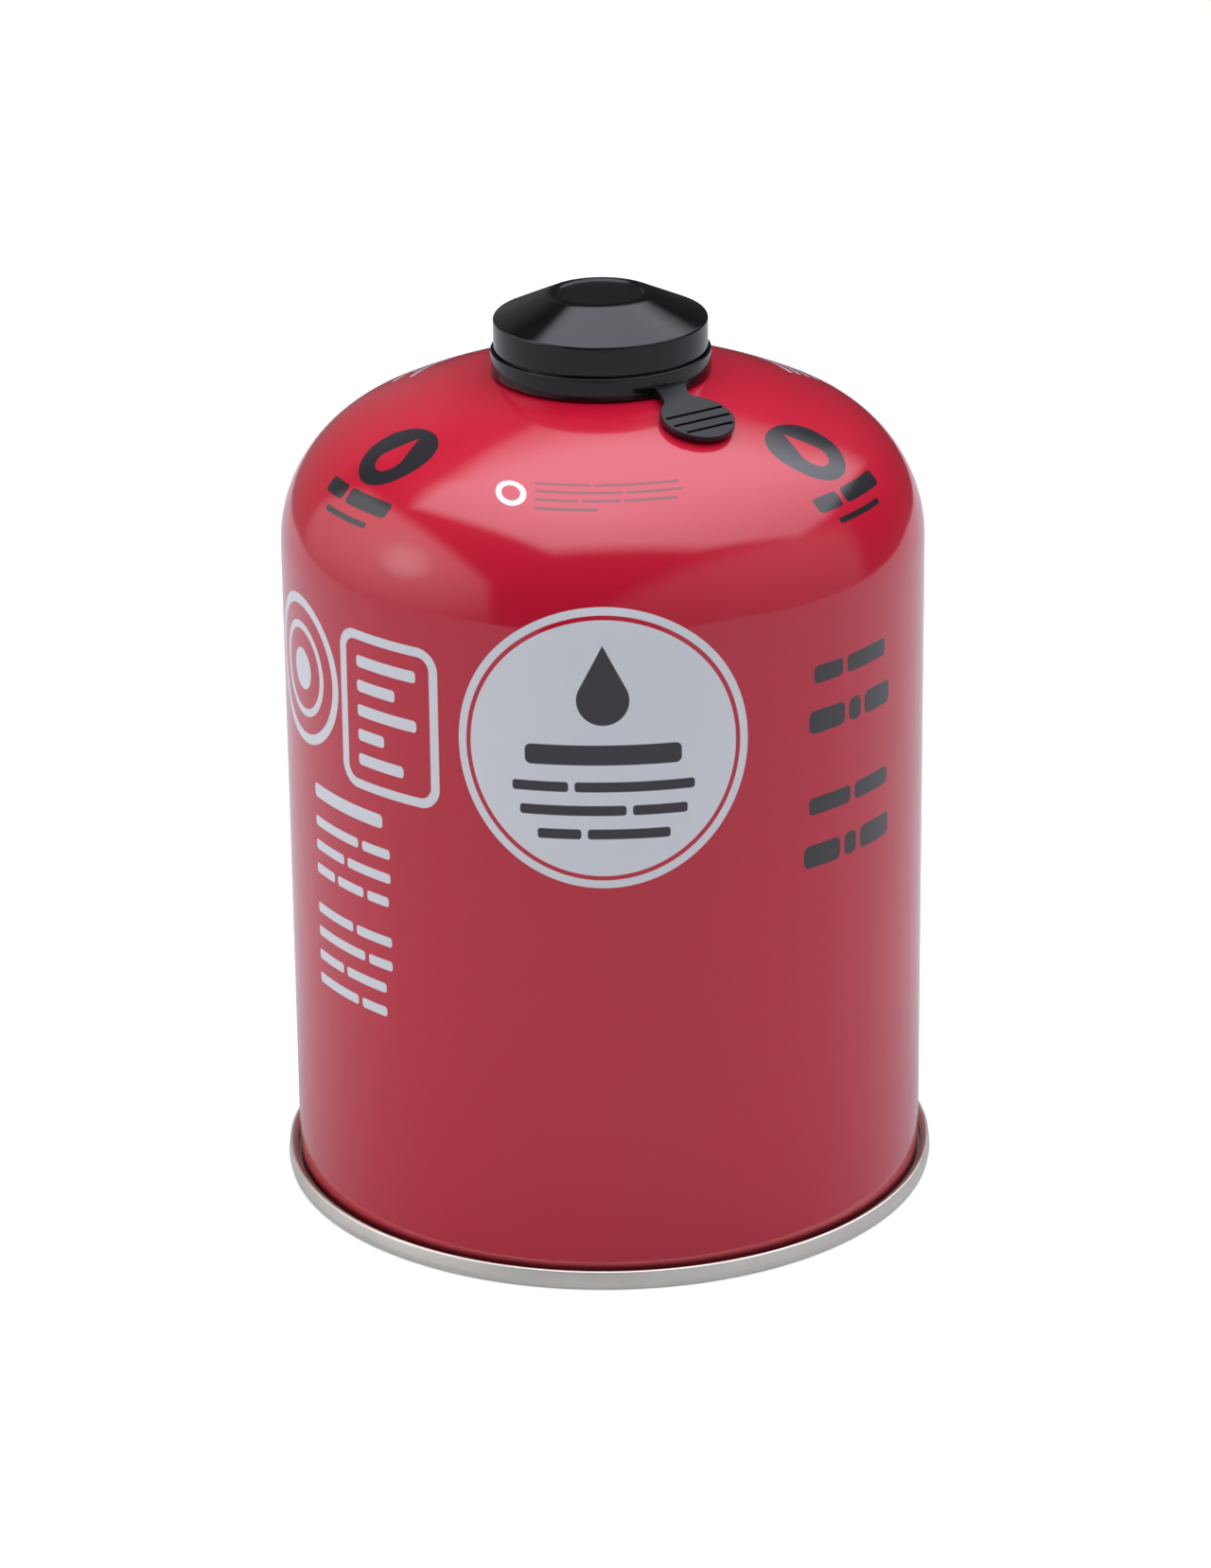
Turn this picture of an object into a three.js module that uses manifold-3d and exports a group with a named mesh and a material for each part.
// Threaded-valve fuel canister with a push-fit cap. Millimetres, +Z up, the base on z = 0.
import * as THREE from 'three';
import { mergeVertices } from 'three/addons/utils/BufferGeometryUtils.js';
import Module from 'manifold-3d';

const wasm = await Module();
wasm.setup();

// Fits
const CLEARANCE = 0.3; // between pieces that slide, or that are laid in
const PRESSED_GAP = 0.1; // between pieces that are crimped together

// Drawn can
const WALL_R = 53;
const WALL_TOP_Z = 111.5;
const SHOULDER_R = 23;
const DOME_R = 93;
const HEM = 0.6;

// Base end, joined to the wall by a double seam
const SEAM_OVERHANG = 2; // how far the seam stands out from the wall
const SEAM_HEIGHT = 3.6;
const SEAM_FLOOR = 1.3;
const seamROUND = 0.9;
const SEAM_TAPER = 0.25;
const END_SHEET = 0.6;
const COUNTERSINK = 5.2;
const PANEL_INSET = 5.5; // from the wall to the edge of the panel
const PANEL_BEAD_Z = 3.4;
const PANEL_RISE = 8.5;

// Mounting cup, crimped over the rim of the can
const CURL_R = 16.1;
const CURL_RADIUS = 2;
const NECK_INSET = 0.7; // from the curl in to the can's neck
const CURL_RISE = 1.9;
const CUP_SHEET = 0.45;
const CUP_DEPTH = 6.3;
const GASKET = 0.35;

// Valve boss with the 7/16 inch stove thread, and what it holds
const BOSS_R = 5.55;
const BOSS_BORE_R = 4.3;
const BOSS_LIP = 0.6;
const BOSS_RISE = 4;
const NOSE_R = 2.8;
const NOSE_DEPTH = 2.6;
const SEAL_HEIGHT = 4.2;
const STEM_R = 1.5;
const STEM_FLANGE = 1.1;
const STEM_TAIL = 4.5;
const STEM_PROUD = 0.3;
const HOUSING_WALL = 0.7;
const HOUSING_DEPTH = 13;
const HOUSING_FLANGE_R = 6.6;
const HOUSING_FLANGE = 1;
const SPRING_WIRE = 0.45;
const SPRING_R = 2.35;
const SPRING_TURNS = 6;

// Cap
const CAP_OVER_CURL = 1.4;
const CAP_HEIGHT = 13.06;
const CAP_WALL = 1.1;
const COLLAR_HEIGHT = 8.86;
const BAND_STEP = 0.5;
const BAND_HEIGHT = 3.75;
const BAND_GROOVE = 0.35;
const DISC_R = 8.3;
const DISC_BEND = 4; // radius of the bend between the cone and the disc
const DISH = 0.3;
const SNAP_BEAD = 0.35;
const SEAT_RING = 1;

// Pull tab, moulded with the cap
const TAB_AZIMUTH = -55.3;
const TAB_OUT = 9.2; // from the cap's wall to the middle of the tab
const TAB_R = 6.05;
const TAB_THICKNESS = 1;
const TAB_NECK = 5.2;
const TAB_FLARE = 1.5;
const TAB_LIFT = 0.45;
const GROOVES = 3;
const GROOVE_START = -0.3;
const GROOVE_PITCH = 1.85;
const GROOVE_WIDTH = 0.5;
const GROOVE_DEPTH = 0.35;
const GROOVE_MARGIN = 0.45;

const FINE = 48; // segments round the can and the cap
const MEDIUM = 32; // round the mounting cup
const COARSE = 20; // round the small parts of the valve

const { degToRad, radToDeg } = THREE.MathUtils;

// Corners [r, z, fillet] as a line with each fillet drawn as an arc.
function rounded(corners, steps = 3) {
  return corners.flatMap(([r, z, fillet = 0], i) => {
    const corner = new THREE.Vector2(r, z);
    if (!fillet) return [corner];
    const back = new THREE.Vector2(...corners[i - 1]).sub(corner).normalize();
    const on = new THREE.Vector2(...corners[i + 1]).sub(corner).normalize();
    const half = Math.acos(back.dot(on)) / 2;
    const middle = back.clone().add(on).normalize();
    const centre = middle.multiplyScalar(fillet / Math.sin(half)).add(corner);
    const start = back.clone().multiplyScalar(fillet / Math.tan(half)).add(corner);
    const sweep = (Math.PI - 2 * half) * Math.sign(on.cross(back));
    return Array.from({ length: steps + 1 }, (_, k) => (
      start.clone().rotateAround(centre, (sweep * k) / steps)
    ));
  });
}

// Arc in the section, angles in degrees from the radial direction.
function arc(r, z, radius, from, to, steps) {
  return Array.from({ length: steps + 1 }, (_, k) => {
    const angle = degToRad(from + ((to - from) * k) / steps);
    return new THREE.Vector2(r + radius * Math.cos(angle), z + radius * Math.sin(angle));
  });
}

// The line moved to its left by a distance, point by point, as one face of a pressed sheet.
function offset(line, distance) {
  return line.map((point, i) => {
    const on = line[Math.min(i + 1, line.length - 1)];
    const back = line[Math.max(i - 1, 0)];
    const along = on.clone().sub(back).normalize();
    return new THREE.Vector2(point.x - along.y * distance, point.y + along.x * distance);
  });
}

// Turned solid. The outline starts and ends on the axis, or closes on itself.
function turned(outline, segments) {
  const first = outline[0];
  const points = first.x === 0 ? [...outline] : [...outline, first.clone()];
  if (THREE.ShapeUtils.area(points) < 0) points.reverse();
  return new THREE.LatheGeometry(points, segments).rotateX(Math.PI / 2);
}

function toManifold(geometry) {
  const bare = geometry.clone();
  bare.deleteAttribute('normal');
  bare.deleteAttribute('uv');
  const merged = mergeVertices(bare, 1e-4);
  return new wasm.Manifold(new wasm.Mesh({
    numProp: 3,
    vertProperties: new Float32Array(merged.attributes.position.array),
    triVerts: new Uint32Array(merged.index.array),
  }));
}

function fromManifold(solid) {
  const mesh = solid.getMesh();
  const geometry = new THREE.BufferGeometry();
  geometry.setAttribute('position', new THREE.BufferAttribute(mesh.vertProperties, 3));
  geometry.setIndex(new THREE.BufferAttribute(mesh.triVerts, 1));
  geometry.computeVertexNormals();
  return geometry;
}

// Radii that follow from the wall's and the curl's
const seamR = WALL_R + SEAM_OVERHANG;
const panelR = WALL_R - PANEL_INSET;
const neckR = CURL_R - NECK_INSET;
const capR = CURL_R + CAP_OVER_CURL;
const tabReach = capR + TAB_OUT;

// The dome: a shoulder arc, then a flatter crown that it meets smoothly
const shoulderCentreR = WALL_R - SHOULDER_R;
const shoulderSweep = radToDeg(Math.acos(shoulderCentreR / (DOME_R - SHOULDER_R)));
const domeCentreZ = WALL_TOP_Z - (DOME_R - SHOULDER_R) * Math.sin(degToRad(shoulderSweep));
const domeZ = (r) => domeCentreZ + Math.sqrt(DOME_R ** 2 - r ** 2);

// The rim of the can inside the curl of the mounting cup, with the gasket between them
const curlCentreR = CURL_R - CURL_RADIUS;
const curlCentreZ = domeZ(neckR) + CURL_RISE;
const curlTopZ = curlCentreZ + CURL_RADIUS;
const gasketRadius = CURL_RADIUS - CUP_SHEET - PRESSED_GAP;
const rimRadius = gasketRadius - GASKET - PRESSED_GAP;
const cupFloorZ = curlTopZ - CUP_DEPTH;

// The valve, from the top of its boss down
const bossTopZ = curlTopZ + BOSS_RISE;
const stemTopZ = bossTopZ - NOSE_DEPTH;
const sealTopZ = bossTopZ - BOSS_LIP - PRESSED_GAP;
const sealBottomZ = sealTopZ - SEAL_HEIGHT;
const housingTopZ = sealBottomZ - PRESSED_GAP;
const housingFloorZ = housingTopZ - HOUSING_DEPTH;
const housingR = BOSS_BORE_R - PRESSED_GAP;
const housingBoreR = housingR - HOUSING_WALL;
const flangeTopZ = housingTopZ;
const flangeBottomZ = flangeTopZ - STEM_FLANGE;

// The cap stands just clear of the dome
const capBottomZ = domeZ(capR + BAND_STEP) + TAB_LIFT;

// Middle line of the base end's sheet, from inside the seam up over the countersink to the axis
function panelLine() {
  const chuckR = WALL_R - HEM - CLEARANCE - END_SHEET / 2;
  const radius = (panelR ** 2 + PANEL_RISE ** 2) / (2 * PANEL_RISE);
  const edge = radToDeg(Math.acos(panelR / radius));
  const panel = arc(0, PANEL_BEAD_Z + PANEL_RISE - radius, radius, edge + 1, 90, 7);
  const countersink = rounded([
    [chuckR, SEAM_FLOOR],
    [chuckR - SEAM_TAPER, COUNTERSINK, 1],
    [panelR + 1.6, PANEL_BEAD_Z - 0.5, 1.4],
    panel[0].toArray(),
  ]);
  return [...countersink, ...panel.slice(1)];
}

function canShell() {
  const floor = offset(panelLine(), -END_SHEET / 2 - CLEARANCE).reverse();
  floor[0].x = 0;
  const hemZ = SEAM_FLOOR + CLEARANCE;
  floor[floor.length - 1].y = hemZ;
  const neckEdge = radToDeg(Math.acos(neckR / DOME_R));
  const pocketR = HOUSING_FLANGE_R + CLEARANCE;
  const pocketZ = housingFloorZ - HOUSING_WALL - CLEARANCE;
  const ledgeZ = cupFloorZ - CUP_SHEET - CLEARANCE;
  return turned([
    ...floor,
    new THREE.Vector2(WALL_R, hemZ),
    ...arc(shoulderCentreR, WALL_TOP_Z, SHOULDER_R, 0, shoulderSweep, 9),
    ...arc(0, domeCentreZ, DOME_R, shoulderSweep, neckEdge, 6).slice(1),
    ...arc(curlCentreR, curlCentreZ, rimRadius, -30, 180, 7),
    ...rounded([
      [curlCentreR - rimRadius, curlCentreZ - 1],
      [curlCentreR - rimRadius, ledgeZ, 0.6],
      [pocketR, ledgeZ],
      [pocketR, pocketZ],
      [0, pocketZ],
    ]),
  ], FINE);
}

function baseEnd() {
  const line = panelLine();
  const under = offset(line, END_SHEET / 2).reverse();
  const over = offset(line, -END_SHEET / 2);
  under[0].x = 0;
  over[over.length - 1].x = 0;
  const chuckInside = under[under.length - 1].x;
  const grooveR = WALL_R + CLEARANCE;
  return turned([
    ...under,
    ...rounded([
      [chuckInside, SEAM_FLOOR - 0.2],
      [chuckInside + SEAM_TAPER, 0, 0.4],
      [seamR - SEAM_TAPER, 0, 0.5],
      [seamR, SEAM_FLOOR, 0.6],
      [seamR - SEAM_TAPER, SEAM_HEIGHT, seamROUND],
      [grooveR, SEAM_HEIGHT],
      [grooveR, SEAM_FLOOR],
    ]),
    ...over,
  ], FINE);
}

function mountingCup() {
  const radius = CURL_RADIUS - CUP_SHEET / 2;
  const wallR = curlCentreR - radius;
  const line = [
    ...arc(curlCentreR, curlCentreZ, radius, -25, 180, 9),
    ...rounded([
      [wallR, curlCentreZ - 1],
      [wallR, cupFloorZ, 1.3],
      [BOSS_R + 1.2, cupFloorZ],
    ]),
  ];
  const floorTopZ = cupFloorZ + CUP_SHEET / 2;
  return turned([
    ...offset(line, -CUP_SHEET / 2),
    ...rounded([
      [BOSS_R + 1, floorTopZ],
      [BOSS_R, floorTopZ, 0.7],
      [BOSS_R, bossTopZ, 0.4],
      [NOSE_R, bossTopZ],
      [NOSE_R, bossTopZ - BOSS_LIP],
      [BOSS_BORE_R, bossTopZ - BOSS_LIP],
      [BOSS_BORE_R, floorTopZ - CUP_SHEET],
    ]),
    ...offset(line, CUP_SHEET / 2).reverse(),
  ], MEDIUM);
}

function cupGasket() {
  return turned([
    ...arc(curlCentreR, curlCentreZ, gasketRadius, -10, 170, 6),
    ...arc(curlCentreR, curlCentreZ, gasketRadius - GASKET, 170, -10, 6),
  ], MEDIUM);
}

function valveSeal() {
  const socketR = NOSE_R - 0.4;
  const socketZ = stemTopZ - STEM_PROUD;
  const holeR = STEM_R + CLEARANCE;
  return turned(rounded([
    [holeR, sealBottomZ],
    [housingR, sealBottomZ],
    [housingR, sealTopZ],
    [socketR, sealTopZ],
    [socketR, socketZ],
    [holeR, socketZ],
  ]), COARSE);
}

function valveStem() {
  const flangeR = housingBoreR - CLEARANCE;
  return turned(rounded([
    [0, flangeBottomZ - STEM_TAIL],
    [STEM_R, flangeBottomZ - STEM_TAIL],
    [STEM_R, flangeBottomZ],
    [flangeR, flangeBottomZ],
    [flangeR, flangeTopZ],
    [STEM_R, flangeTopZ],
    [STEM_R, stemTopZ, 0.3],
    [0, stemTopZ],
  ]), COARSE);
}

function valveHousing() {
  const flangeZ = cupFloorZ - CUP_SHEET / 2 - PRESSED_GAP;
  const bottomZ = housingFloorZ - HOUSING_WALL;
  return turned(rounded([
    [0, bottomZ],
    [housingR, bottomZ, 0.6],
    [housingR, flangeZ - HOUSING_FLANGE],
    [HOUSING_FLANGE_R, flangeZ - HOUSING_FLANGE],
    [HOUSING_FLANGE_R, flangeZ],
    [housingR, flangeZ],
    [housingR, housingTopZ],
    [housingBoreR, housingTopZ],
    [housingBoreR, housingFloorZ],
    [0, housingFloorZ],
  ]), COARSE);
}

// Compression spring between the housing's floor and the stem's flange
class Helix extends THREE.Curve {
  getPoint(t, target = new THREE.Vector3()) {
    const inset = SPRING_WIRE / 2 + PRESSED_GAP;
    const low = housingFloorZ + inset;
    const high = flangeBottomZ - inset;
    const angle = 2 * Math.PI * SPRING_TURNS * t;
    return target.set(
      SPRING_R * Math.cos(angle),
      SPRING_R * Math.sin(angle),
      THREE.MathUtils.lerp(low, high, t),
    );
  }
}

function stemSpring() {
  const section = new THREE.Shape().absarc(0, 0, SPRING_WIRE / 2, 0, 2 * Math.PI, false);
  return new THREE.ExtrudeGeometry(section, {
    steps: SPRING_TURNS * 10,
    curveSegments: 4,
    extrudePath: new Helix(),
  });
}

function capShell() {
  const topZ = capBottomZ + CAP_HEIGHT;
  const shoulderZ = capBottomZ + COLLAR_HEIGHT;
  const bandR = capR + BAND_STEP;
  const bandZ = capBottomZ + BAND_HEIGHT;
  const slope = (topZ - shoulderZ) / (capR - DISC_R);
  const wallDrop = CAP_WALL * Math.hypot(1, slope);
  const underZ = (r) => shoulderZ + slope * (capR - r) - wallDrop;
  const collarR = capR - CAP_WALL;
  const skirtR = CURL_R + CLEARANCE + SNAP_BEAD;
  const snapR = CURL_R + CLEARANCE;
  const ceilingZ = topZ - DISH - CAP_WALL;
  const ceilingR = capR - (ceilingZ + wallDrop - shoulderZ) / slope;
  const seatR = curlCentreR - SEAT_RING / 2;
  const seatZ = curlTopZ + CLEARANCE;
  return turned(rounded([
    [0, ceilingZ],
    [ceilingR, ceilingZ],
    [seatR, underZ(seatR)],
    [seatR, seatZ],
    [seatR + SEAT_RING, seatZ],
    [seatR + SEAT_RING, underZ(seatR + SEAT_RING)],
    [collarR, underZ(collarR)],
    [collarR, bandZ],
    [skirtR, bandZ - 0.6],
    [skirtR, capBottomZ + 1.5],
    [snapR, capBottomZ + 1.1],
    [snapR, capBottomZ + 0.7],
    [skirtR, capBottomZ],
    [bandR, capBottomZ, 0.25],
    [bandR, bandZ, 0.2],
    [capR - BAND_GROOVE, bandZ],
    [capR - BAND_GROOVE, bandZ + BAND_GROOVE],
    [capR, bandZ + BAND_GROOVE],
    [capR, shoulderZ, 0.45],
    [DISC_R, topZ, DISC_BEND],
    [DISC_R - 1.2, topZ],
    [DISC_R - 1.5, topZ - DISH],
    [0, topZ - DISH],
  ]), FINE);
}

// Outline of the tab in its own plane: x runs outwards from the disc's centre.
function tabShape(rootX) {
  const leave = degToRad(140);
  const neck = TAB_NECK / 2;
  const waist = new THREE.Vector2(-TAB_R - 0.3, neck);
  const shape = new THREE.Shape();
  shape.moveTo(rootX, -neck - TAB_FLARE);
  shape.quadraticCurveTo(rootX + 0.6, -neck, waist.x, -waist.y);
  shape.quadraticCurveTo(-TAB_R + 0.5, -neck, TAB_R * Math.cos(leave), -TAB_R * Math.sin(leave));
  shape.absarc(0, 0, TAB_R, -leave, leave, false);
  shape.quadraticCurveTo(-TAB_R + 0.5, neck, waist.x, waist.y);
  shape.quadraticCurveTo(rootX + 0.6, neck, rootX, neck + TAB_FLARE);
  shape.closePath();
  return shape;
}

function pullTab() {
  const tilt = Math.asin(tabReach / DOME_R);
  const bandInsideR = CURL_R + CLEARANCE + SNAP_BEAD + 0.4;
  const rootX = (bandInsideR - tabReach) / Math.cos(tilt);
  const bevel = 0.12;
  const plate = new THREE.ExtrudeGeometry(tabShape(rootX), {
    depth: TAB_THICKNESS - 2 * bevel,
    bevelThickness: bevel,
    bevelSize: bevel,
    bevelSegments: 1,
    curveSegments: 10,
  }).translate(0, 0, bevel);
  let solid = toManifold(plate);
  for (let k = 0; k < GROOVES; k += 1) {
    const x = GROOVE_START + GROOVE_PITCH * k;
    const length = 2 * (Math.sqrt(TAB_R ** 2 - x ** 2) - GROOVE_MARGIN);
    const cut = new THREE.BoxGeometry(GROOVE_WIDTH, length, 2 * GROOVE_DEPTH);
    solid = solid.subtract(toManifold(cut.translate(x, 0, TAB_THICKNESS)));
  }
  const z = domeZ(tabReach) + TAB_LIFT / Math.cos(tilt);
  return fromManifold(solid)
    .rotateY(tilt)
    .translate(tabReach, 0, z)
    .rotateZ(degToRad(TAB_AZIMUTH));
}

function cap() {
  return fromManifold(toManifold(capShell()).add(toManifold(pullTab())));
}

const redLacquer = new THREE.MeshStandardMaterial({ color: 0xa3182a, roughness: 0.35, metalness: 0.3 });
const tinplate = new THREE.MeshStandardMaterial({ color: 0xc9c6c0, roughness: 0.3, metalness: 1 });
const blackPlastic = new THREE.MeshStandardMaterial({ color: 0x1d1d20, roughness: 0.35, metalness: 0 });
const blackRubber = new THREE.MeshStandardMaterial({ color: 0x1a1a1a, roughness: 0.8, metalness: 0 });
const greyRubber = new THREE.MeshStandardMaterial({ color: 0x55565a, roughness: 0.8, metalness: 0 });
const whitePlastic = new THREE.MeshStandardMaterial({ color: 0xd8d6cf, roughness: 0.5, metalness: 0 });
const brass = new THREE.MeshStandardMaterial({ color: 0xb08d46, roughness: 0.35, metalness: 1 });
const springSteel = new THREE.MeshStandardMaterial({ color: 0x9a9a9a, roughness: 0.35, metalness: 1 });

function piece(name, geometry, material) {
  const mesh = new THREE.Mesh(geometry, material);
  mesh.name = name;
  return mesh;
}

const can = new THREE.Group();
can.add(
  piece('can_shell', canShell(), redLacquer),
  piece('base_end', baseEnd(), tinplate),
);

const valve = new THREE.Group();
valve.add(
  piece('valve_cup', mountingCup(), tinplate),
  piece('cup_gasket', cupGasket(), greyRubber),
  piece('valve_seal', valveSeal(), blackRubber),
  piece('valve_stem', valveStem(), brass),
  piece('stem_spring', stemSpring(), springSteel),
  piece('valve_housing', valveHousing(), whitePlastic),
);

const group = new THREE.Group();
group.add(can, valve, piece('cap', cap(), blackPlastic));

export default group;
